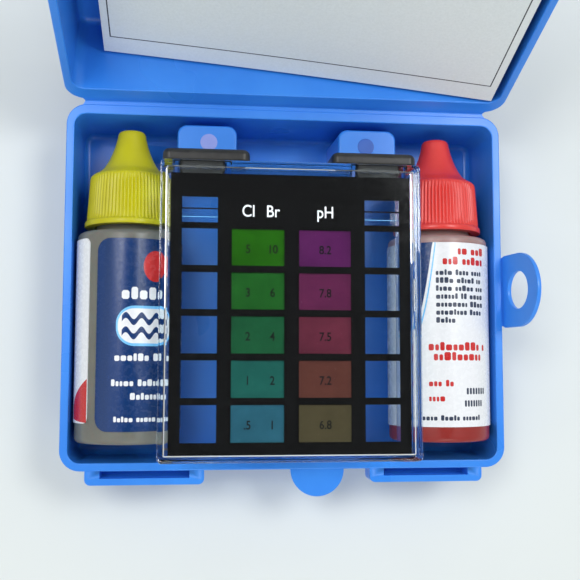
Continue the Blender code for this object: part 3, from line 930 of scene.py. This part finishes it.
class Wrap:
    """Closed patches wrapped round a lying bottle; angles are degrees from its top, t runs from its end."""

    def __init__(self, side, layer=0):
        self.x = side * BOTTLE_X
        self.low = BOTTLE_RADIUS - 0.05 * MM if layer == 0 else LABEL_RADIUS + (layer - 2) * PRINT_LIFT
        self.high = LABEL_RADIUS + layer * PRINT_LIFT
        self.bm = bmesh.new()

    def patch(self, a0, a1, near, far, steps):
        """A patch between two angles; near and far give its t limits, in mm, for a share 0 to 1."""
        columns = []
        for share in steps:
            a = math.radians(a0 + (a1 - a0) * share)
            column = []
            for r, t in ((self.high, near(share)), (self.high, far(share)),
                         (self.low, far(share)), (self.low, near(share))):
                column.append(self.bm.verts.new((self.x + r * math.sin(a), BOTTLE_END + t * MM,
                                                 BOTTLE_Z + r * math.cos(a))))
            columns.append(column)
        for a, b in zip(columns, columns[1:]):
            for i in range(4):
                j = (i + 1) % 4
                self.bm.faces.new((a[i], b[i], b[j], a[j]))
        self.bm.faces.new(columns[0])
        self.bm.faces.new(list(reversed(columns[-1])))

    def panel(self, a0, a1, t0, t1, corner):
        """A rectangle with rounded corners; corner in mm."""
        width = math.radians(a1 - a0) * self.high / MM
        corner = min(corner, 0.495 * (t1 - t0), 0.495 * width)
        turns = [1 - math.cos(math.radians(9 * i)) for i in range(11)]
        middle = max(1, int((a1 - a0) / PANEL_PITCH))
        shares = [corner * c / width for c in turns]
        inner = 1 - 2 * corner / width
        shares += [corner / width + inner * i / middle for i in range(1, middle)]
        shares += [1 - corner * c / width for c in reversed(turns)]

        def inset(share):
            edge = min(share, 1 - share) * width
            if edge >= corner:
                return 0.0
            return corner - math.sqrt(max(corner ** 2 - (corner - edge) ** 2, 0.0))

        self.patch(a0, a1, lambda s: t0 + inset(s), lambda s: t1 - inset(s), shares)

    def oval(self, center, t, half_angle, half_t):
        """An oval printed shape."""
        shares = [0.5 - 0.5 * math.cos(math.radians(6 + 168 * i / 28)) for i in range(29)]

        def reach(share):
            return half_t * math.sqrt(max(1 - (2 * share - 1) ** 2, 0.0))

        self.patch(center - half_angle, center + half_angle,
                   lambda s: t - reach(s), lambda s: t + reach(s), shares)

    def words(self, a0, a1, t, height, seed):
        """Rows of letter-sized blocks that stand for print which isn't reproduced; t is the row's middle."""
        draw = random.Random(seed)
        turn = math.degrees(height * MM / self.high)
        base = t - height / 2
        a = a0
        while a < a1 - turn:
            for _ in range(draw.randint(2, LONGEST_WORD)):
                end = a + turn * draw.uniform(0.38, 0.78)
                if end > a1:
                    break
                top = base + height * draw.choice((0.72, 0.72, 0.78, 1.0))
                clip = 0.14 * height

                def cut(share):
                    return clip if share in (0, 1) else 0.0

                self.patch(a, end, lambda s: base + cut(s), lambda s: top - cut(s), (0, 0.2, 0.8, 1))
                a = end + turn * 0.16
            a += turn * 0.5

    def done(self, name, mat, body, node=None):
        """Make the object."""
        obj = add(name, self.bm, mat, smooth=40.0)
        obj.modifiers.clear()
        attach(obj, body)
        if node:
            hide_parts(node)


def left_label(inks):
    """Blue front panel and white back panel on clear film, with generic print."""
    body = "left_bottle"
    front = Wrap(-1)
    front.panel(-31.5, 118.0, 3.4, 52.2, 3.4)
    front.done("left_label_front", inks["blue"], body, "yellow_label")
    back = Wrap(-1)
    back.panel(-232.0, -43.5, 5.2, 52.6, 1.6)
    back.done("left_label_back", inks["white"], body)
    mark = Wrap(-1, 1)
    mark.patch(-75.0, -43.5, lambda s: 5.5 + 0.8 * (1 - s) ** 2, lambda s: 9.4 + 7.1 * s ** 0.7,
               [i / 14 for i in range(15)])
    mark.oval(31.5, 45.2, 13.5, 4.0)
    mark.done("left_label_marks", inks["red"], body)
    pale = Wrap(-1, 1)
    pale.panel(-9.5, 54.0, 24.8, 35.0, 4.6)
    pale.done("left_label_halo", inks["pale"], body)
    white = Wrap(-1, 2)
    white.panel(-7.5, 52.0, 25.5, 34.3, 4.0)
    white.words(-4.0, 60.0, 38.2, 3.1, 3)
    white.words(-10.5, 60.0, 22.0, 1.9, 5)
    white.words(-13.5, 60.0, 15.6, 1.7, 8)
    white.words(6.0, 48.0, 12.2, 1.7, 11)
    white.words(-10.5, 58.0, 6.5, 1.4, 4)
    white.done("left_label_print", inks["white"], body)
    ripple = Wrap(-1, 3)
    for t in (28.1, 31.7):
        ripple.patch(-3.5, 48.0, lambda s: t - 0.75 + 0.9 * math.sin(20 * s),
                     lambda s: t + 0.75 + 0.9 * math.sin(20 * s), [i / 60 for i in range(61)])
    ripple.done("left_label_ripples", inks["blue"], body)


def right_label(inks):
    """White wrap with a blue wave and rows of generic print."""
    body = "right_bottle"
    top = LABEL_END / MM
    wrap = Wrap(1)
    wrap.panel(-233.0, 113.0, 4.1, top, 1.0)
    wrap.done("right_label_wrap", inks["white"], body, "red_label")
    for name, layer, ink, shift in (
        ("right_label_wave_edge", 1, "pale", 3.2),
        ("right_label_wave_line", 2, "white", 2.0),
        ("right_label_wave", 3, "blue", 0.0),
    ):
        low, start, end = -60.0, -44.0 + shift, -19.5 + shift

        def sweep(share):
            """The wave's lower edge, which climbs to the label's end."""
            climb = max(0.0, (low + (end - low) * share - start) / (end - start))
            return min(29.2 - 0.5 * shift + 24.0 * climb ** 1.9, top - 0.05)

        band = Wrap(1, layer)
        band.patch(low, end, sweep, lambda s: top, [i / 36 for i in range(37)])
        band.done(name, inks[ink], body)
    red = Wrap(1, 1)
    for a0, a1, t, height, seed in (
        (8.0, 50.0, 50.4, 2.1, 2), (-9.0, 50.0, 47.7, 2.1, 6), (-25.0, 52.0, 25.1, 2.2, 9),
        (-19.5, 52.0, 22.5, 2.2, 12), (-25.0, 4.5, 15.5, 1.7, 14), (-25.0, -6.0, 11.6, 1.7, 15),
    ):
        red.words(a0, a1, t, height, seed)
    red.done("right_label_red_print", inks["red"], body)
    dark = Wrap(1, 1)
    for row in range(7):
        dark.words(-16.5, 44.0 if row < 6 else 6.0, 44.6 - 2.1 * row, 1.5, 20 + row)
    for t, start, end in ((13.4, 16.5, 45.0), (10.2, 14.0, 40.0)):
        count = 7
        pitch = (end - start) / count
        for i in range(count):
            dark.panel(start + pitch * i, start + pitch * (i + 0.66), t - 0.85, t + 0.85, 0.3)
    dark.words(-44.0, 37.0, 6.5, 1.4, 31)
    dark.done("right_label_dark_print", inks["dark"], body)


# ---- comparator


def comparator_tray(name, mat, outer_z, rim_z, floor_z):
    """One clear half of the housing, an open tray with rounded edges."""
    up = 1 if rim_z > outer_z else -1

    def level(inset, z):
        radius = max(COMP_CORNER - inset, 0.3 * MM)
        points = ring(COMP_HALF_X - inset, -COMP_HALF_Y + inset, COMP_HALF_Y - inset, radius, z, 5)
        return [p + Vector((COMP_X, COMP_MIDDLE, 0)) for p in points]

    bm = bmesh.new()
    lip = up * COMP_LIP
    rings = [level(inset, outer_z + up * rise) for inset, rise in rounding(COMP_EDGE, 4)]
    rings += [level(0, rim_z - lip), level(COMP_LIP, rim_z), level(COMP_WALL - COMP_LIP, rim_z)]
    rings += [level(COMP_WALL, rim_z - lip), level(COMP_WALL + 0.1 * MM, floor_z + up * COMP_EDGE)]
    rings += [level(COMP_WALL + 0.4 * MM, floor_z)]
    loft(bm, rings)
    return add(name, bm, mat, CRISP)


def comparator_back(mat):
    """Rear half of the housing with its two sample cells."""
    body = comparator_tray("comparator_rear_shell", mat, COMP_BOTTOM, COMP_SPLIT - COMP_GAP / 2,
                           COMP_BOTTOM + 1.2 * MM)
    tubes, bores, posts = bmesh.new(), bmesh.new(), bmesh.new()
    for side in (-1, 1):
        x = COMP_X + side * CELL_X
        half = CELL_WIDTH / 2
        wide = half + CELL_WALL
        box(tubes, (x - wide, CELL_END - CELL_WALL, COMP_BOTTOM + 0.6 * MM),
            (x + wide, COMP_HIGH.y - 0.2 * MM, CELL_TOP + CELL_WALL), SMALL_EDGE)
        box(bores, (x - half, CELL_END, CELL_BOTTOM), (x + half, COMP_HIGH.y + 2 * MM, CELL_TOP), 0.5 * MM)
        corner_x = COMP_X + side * (COMP_HALF_X - 2.2 * MM)
        box(posts, (corner_x - 1.4 * MM, COMP_LOW.y + 0.8 * MM, COMP_BOTTOM + 0.6 * MM),
            (corner_x + 1.4 * MM, COMP_LOW.y + 2.8 * MM, COMP_SPLIT - 0.2 * MM), 0.2 * MM)
    combine(body, add("cell_tubes", tubes, mat), "UNION", CRISP)
    combine(body, add("housing_posts", posts, mat), "UNION", CRISP)
    combine(body, add("cell_bores", bores, mat), "DIFFERENCE", CRISP)
    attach(body, "comparator")
    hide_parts("comparator_back")


def comparator_front(mat):
    """Front half of the housing, notched where the cells leave it."""
    body = comparator_tray("comparator_face", mat, COMP_HIGH.z, COMP_SPLIT + COMP_GAP / 2,
                           COMP_HIGH.z - COMP_SKIN)
    notches = bmesh.new()
    for side in (-1, 1):
        x = COMP_X + side * CELL_X
        wide = CELL_WIDTH / 2 + CELL_WALL + COMP_GAP
        box(notches, (x - wide, COMP_HIGH.y - COMP_WALL - 2 * MM, COMP_SPLIT - 2 * MM),
            (x + wide, COMP_HIGH.y + 2 * MM, CELL_TOP + CELL_WALL + COMP_GAP))
    combine(body, add("cell_notches", notches, mat), "DIFFERENCE", CRISP)
    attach(body, "comparator")
    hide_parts("comparator_front")


def lettering(name, words, size, height, mat, weight):
    """Flat printed characters; words are (text, x, y) with y at the middle of a row."""
    bm = bmesh.new()
    for text, x, y in words:
        curve = bpy.data.curves.new("letters", "FONT")
        curve.body = text
        curve.size = size
        curve.align_x = "CENTER"
        curve.offset = weight
        curve.extrude = 0.02 * MM
        curve.resolution_u = 6
        obj = put("letters", curve)
        obj.matrix_world = Matrix.Translation((x, y - 0.35 * size, height)) @ Matrix.Diagonal((0.86, 1, 1, 1))
        bpy.context.view_layer.update()
        mesh = bpy.data.meshes.new_from_object(obj.evaluated_get(bpy.context.evaluated_depsgraph_get()))
        mesh.transform(obj.matrix_world)
        bm.from_mesh(mesh)
        bpy.data.objects.remove(obj, do_unlink=True)
    bmesh.ops.remove_doubles(bm, verts=bm.verts[:], dist=1e-7)
    obj = add(name, bm, mat)
    obj.modifiers.clear()
    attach(obj, "comparator")


def scale_print(white, black, pale):
    """Headings, the standards' numbers and the fill lines of the cells."""
    row_y = [MASK_TOP - FIRST_ROW - i * ROW_PITCH - ROW_HEIGHT / 2 - 0.3 * MM for i in range(ROWS)]
    heading_y = MASK_TOP - HEADING_ROW
    chlorine_x = COMP_X + CHLORINE_PRINT_X
    left, right, ph_x = chlorine_x - NUMBER_SPREAD, chlorine_x + NUMBER_SPREAD, COMP_X + PH_PRINT_X
    headings = [("Cl", left, heading_y), ("Br", right, heading_y), ("pH", ph_x, heading_y)]
    lettering("scale_headings", headings, HEADING_SIZE, MASK_HIGH.z + INK_LIFT, white, 0.03 * MM)
    numbers = []
    for y, chlorine, bromine, ph in zip(row_y, ("5", "3", "2", "1", ".5"), ("10", "6", "4", "2", "1"),
                                        ("8.2", "7.8", "7.5", "7.2", "6.8")):
        numbers += [(chlorine, left, y), (bromine, right, y), (ph, ph_x, y)]
    lettering("scale_numbers", numbers, NUMBER_SIZE, STRIP_TOP + INK_LIFT, black, 0.05 * MM)
    for name, y, thickness, mat in (
        ("fill_lines", 8.6 * MM, 0.35 * MM, black),
        ("fill_edges", 10.8 * MM, 0.12 * MM, pale),
    ):
        bm = bmesh.new()
        for side in (-1, 1):
            x = COMP_X + side * SAMPLE_WINDOW_X
            half = SAMPLE_WINDOW_WIDTH / 2 + 0.3 * MM
            box(bm, (x - half, MASK_TOP - y - thickness, CELL_TOP + CELL_WALL + 0.02 * MM),
                (x + half, MASK_TOP - y, CELL_TOP + CELL_WALL + 0.08 * MM))
        lines = add(name, bm, mat)
        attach(lines, "comparator")


def stopper(side, name, body, node, mat):
    """A rounded black stopper with a ribbed plug."""
    middle = (CELL_BOTTOM + CELL_TOP) / 2
    place = Matrix.Translation((COMP_X + side * (CELL_X - STOPPER_INSET), COMP_HIGH.y + COMP_GAP, middle))
    turn = Matrix.Rotation(math.radians(-90), 4, "X")
    bm = bmesh.new()
    levels = [(0.45 * MM, 0.0), (0.12 * MM, 0.15 * MM), (0.0, 0.5 * MM)]
    levels += [(rise, STOPPER_REACH - inset) for inset, rise in rounding(STOPPER_ROUND, 6)]
    loft(bm, [ring(STOPPER_WIDTH / 2 - inset, -STOPPER_HEIGHT / 2 + inset, STOPPER_HEIGHT / 2 - inset,
                   max(1.9 * MM - inset, 0.3 * MM), depth, 8) for inset, depth in levels])
    head = add(name, bm, mat, matrix=place @ turn)
    plug = bmesh.new()
    half_x = CELL_WIDTH / 2 - 0.3 * MM
    half_z = (CELL_TOP - CELL_BOTTOM) / 2 - 0.3 * MM
    offset = side * STOPPER_INSET
    ribs = [(0.35, 0.3), (0.1, -1.0), (0.0, -1.6), (0.0, -2.2), (0.35, -2.6), (0.35, -4.4),
            (0.0, -4.8), (0.0, -5.4), (0.35, -5.8), (0.35, -7.6), (0.7, -8.0)]
    loft(plug, [[p + Vector((offset, 0, 0)) for p in
                 ring(half_x - inset * MM, inset * MM - half_z, half_z - inset * MM, 0.8 * MM, depth * MM, 5)]
                for inset, depth in ribs])
    combine(head, add(f"{name}_plug", plug, mat, matrix=place @ turn), "UNION")
    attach(head, body)
    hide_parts(node)


# ---- stage


def soft_room():
    """Even pale walls with a darker ceiling, which is what the flat clear parts mirror from above."""
    world = bpy.data.worlds.new("soft_room")
    world.use_nodes = True
    tree = world.node_tree
    coords = tree.nodes.new("ShaderNodeTexCoord")
    split = tree.nodes.new("ShaderNodeSeparateXYZ")
    ramp = tree.nodes.new("ShaderNodeValToRGB")
    walls, ceiling = ramp.color_ramp.elements
    walls.position, walls.color = 0.80, (0.93, 0.97, 1.0, 1.0)
    ceiling.position, ceiling.color = 0.92, (0.04, 0.04, 0.044, 1.0)
    tree.links.new(coords.outputs["Generated"], split.inputs["Vector"])
    tree.links.new(split.outputs["Z"], ramp.inputs["Fac"])
    backdrop = tree.nodes["Background"].inputs
    tree.links.new(ramp.outputs["Color"], backdrop["Color"])
    backdrop["Strength"].default_value = 0.62
    return world


def studio():
    """Pale floor, soft lights, and the camera above the open case."""
    bm = bmesh.new()
    bmesh.ops.create_grid(bm, x_segments=8, y_segments=8, size=1.2)
    bmesh.ops.translate(bm, vec=(0, 0, -0.05 * MM), verts=bm.verts[:])
    floor = add("tabletop", bm, tabletop())
    for name, place, size, power in (
        ("right_key", (0.42, 0.24, 0.85), 0.3, 3.2),
        ("left_key", (-0.30, 0.22, 0.85), 0.3, 2.4),
        ("left_fill", (-0.62, -0.25, 0.8), 0.8, 1.1),
        ("front_fill", (0.10, -0.60, 0.6), 0.5, 1.4),
    ):
        data = bpy.data.lights.new(name, "AREA")
        data.size = size
        data.energy = power
        light = put(name, data)
        light.location = place
        light.rotation_euler = (Vector((0, 0, 0.02)) - light.location).to_track_quat("-Z", "Y").to_euler()
    bpy.context.scene.world = soft_room()
    bpy.context.scene.view_settings.view_transform = "Standard"
    data = bpy.data.cameras.new("camera")
    data.sensor_width = 36.0
    data.lens = 55.0
    data.shift_y = 0.0043
    camera = put("camera", data)
    camera.location = (-0.0259, -0.0219, 0.2560)
    camera.rotation_mode = "ZYX"
    camera.rotation_euler = [math.radians(v) for v in (4.89, -6.39, 0.65)]
    bpy.context.scene.camera = camera


def main():
    blue = moulded("case_blue", SKY_BLUE, DEEP_BLUE, 0.3)
    case_base(blue)
    # the left pillar's ejector mark is given a whitish blue, the right one a darker blue than the case
    ejector_mark(-1, "left_ejector_mark", moulded("whitish_blue", (0.30, 0.36, 0.80), (0.20, 0.28, 0.72), 0.45))
    ejector_mark(1, "right_ejector_mark", moulded("dark_blue", (0.02, 0.13, 0.55), (0.015, 0.10, 0.46), 0.45))
    case_lid(blue)
    hinge_film(blue)
    hang_ring(blue)
    instruction_card(paper_card())

    bottle(-1, "left_bottle_body", "left_bottle", "yellow_bottle",
           milky("bottle_plastic", (0.26, 0.26, 0.22), (0.21, 0.21, 0.18)))
    bottle(1, "right_bottle_body", "right_bottle", "red_bottle",
           milky("bottle_plastic_red_fill", (0.55, 0.36, 0.34), (0.48, 0.30, 0.28),
                 filled=(0.40, 0.025, 0.018)))
    cap(-1, "left_bottle_cap_shell", "left_bottle_cap", "yellow_cap",
        moulded("yellow_plastic", YELLOW, YELLOW_DARK, 0.36))
    cap(1, "right_bottle_cap_shell", "right_bottle_cap", "red_cap",
        moulded("red_plastic", RED, RED_DARK, 0.32))
    tip = milky("tip_plastic", (0.8, 0.8, 0.76), (0.7, 0.7, 0.66))
    for node, mat in (
        ("yellow_dropper_tip", tip),
        ("red_dropper_tip", tip),
        ("yellow_reagent", liquid("clear_liquid", (0.75, 0.78, 0.74), (0.68, 0.71, 0.66))),
        ("red_reagent", liquid("red_liquid", (0.5, 0.02, 0.01), (0.36, 0.01, 0.006))),
        ("chlorine_standards", standard_film("chlorine_film", CHLORINE_STEPS)),
        ("ph_standards", standard_film("ph_film", PH_STEPS)),
        ("scale_mask", mask_film()),
    ):
        frame["nodes"][node].data.materials.clear()
        frame["nodes"][node].data.materials.append(mat)

    inks = {
        # each ink's second colour is the lighter tone of its painted sheen streaks
        "blue": printed("label_blue", LABEL_BLUE, (0.006, 0.040, 0.17)),
        "white": printed("label_white", (0.78, 0.80, 0.82), LABEL_WHITE_SHEEN),
        "pale": printed("label_pale_blue", PALE_BLUE, (0.2, 0.56, 0.88)),
        "red": printed("label_red", PRINT_RED, (0.6, 0.03, 0.03)),
        "dark": printed("label_dark", PRINT_DARK, (0.05, 0.06, 0.1)),
    }
    left_label(inks)
    right_label(inks)

    acrylic = clear_acrylic()
    comparator_back(acrylic)
    comparator_front(acrylic)
    scale_print(inks["white"], scale_ink(), inks["pale"])
    black = rubbery()
    stopper(-1, "left_stopper_body", "left_stopper", "left_cell_cap", black)
    stopper(1, "right_stopper_body", "right_stopper", "right_cell_cap", black)
    studio()


main()
